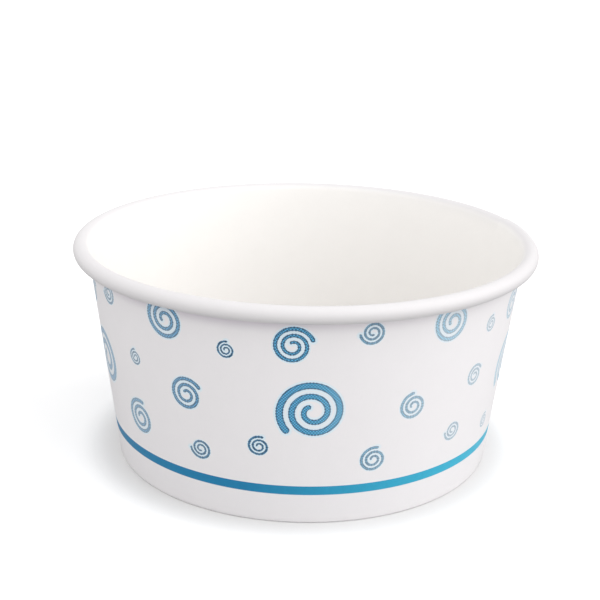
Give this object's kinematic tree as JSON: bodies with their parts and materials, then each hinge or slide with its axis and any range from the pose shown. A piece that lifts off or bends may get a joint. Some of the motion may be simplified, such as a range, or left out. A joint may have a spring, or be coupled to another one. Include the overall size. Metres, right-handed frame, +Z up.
{
  "type": "paper bowl",
  "caption": "Squat round paper bowl with a rolled rim, a side wall that leans out and a base recessed above its folded foot, printed with blue spirals over a blue stripe.",
  "frame": {"origin": "centre of the foot, in the plane that the bowl stands on", "axes": "+Z up along the bowl's axis; the side that faces the reader is towards -Y; the side seam is towards +X, 15.5 degrees round to +Y"},
  "size_m": [0.115, 0.115, 0.0552],
  "materials": {
    "printed_board": "white coated board, printed in blue outside",
    "base_board": "white coated board"
  },
  "bodies": {
    "root": {"side_wall": "printed_board", "base_disc": "base_board"}
  },
  "joints": []
}
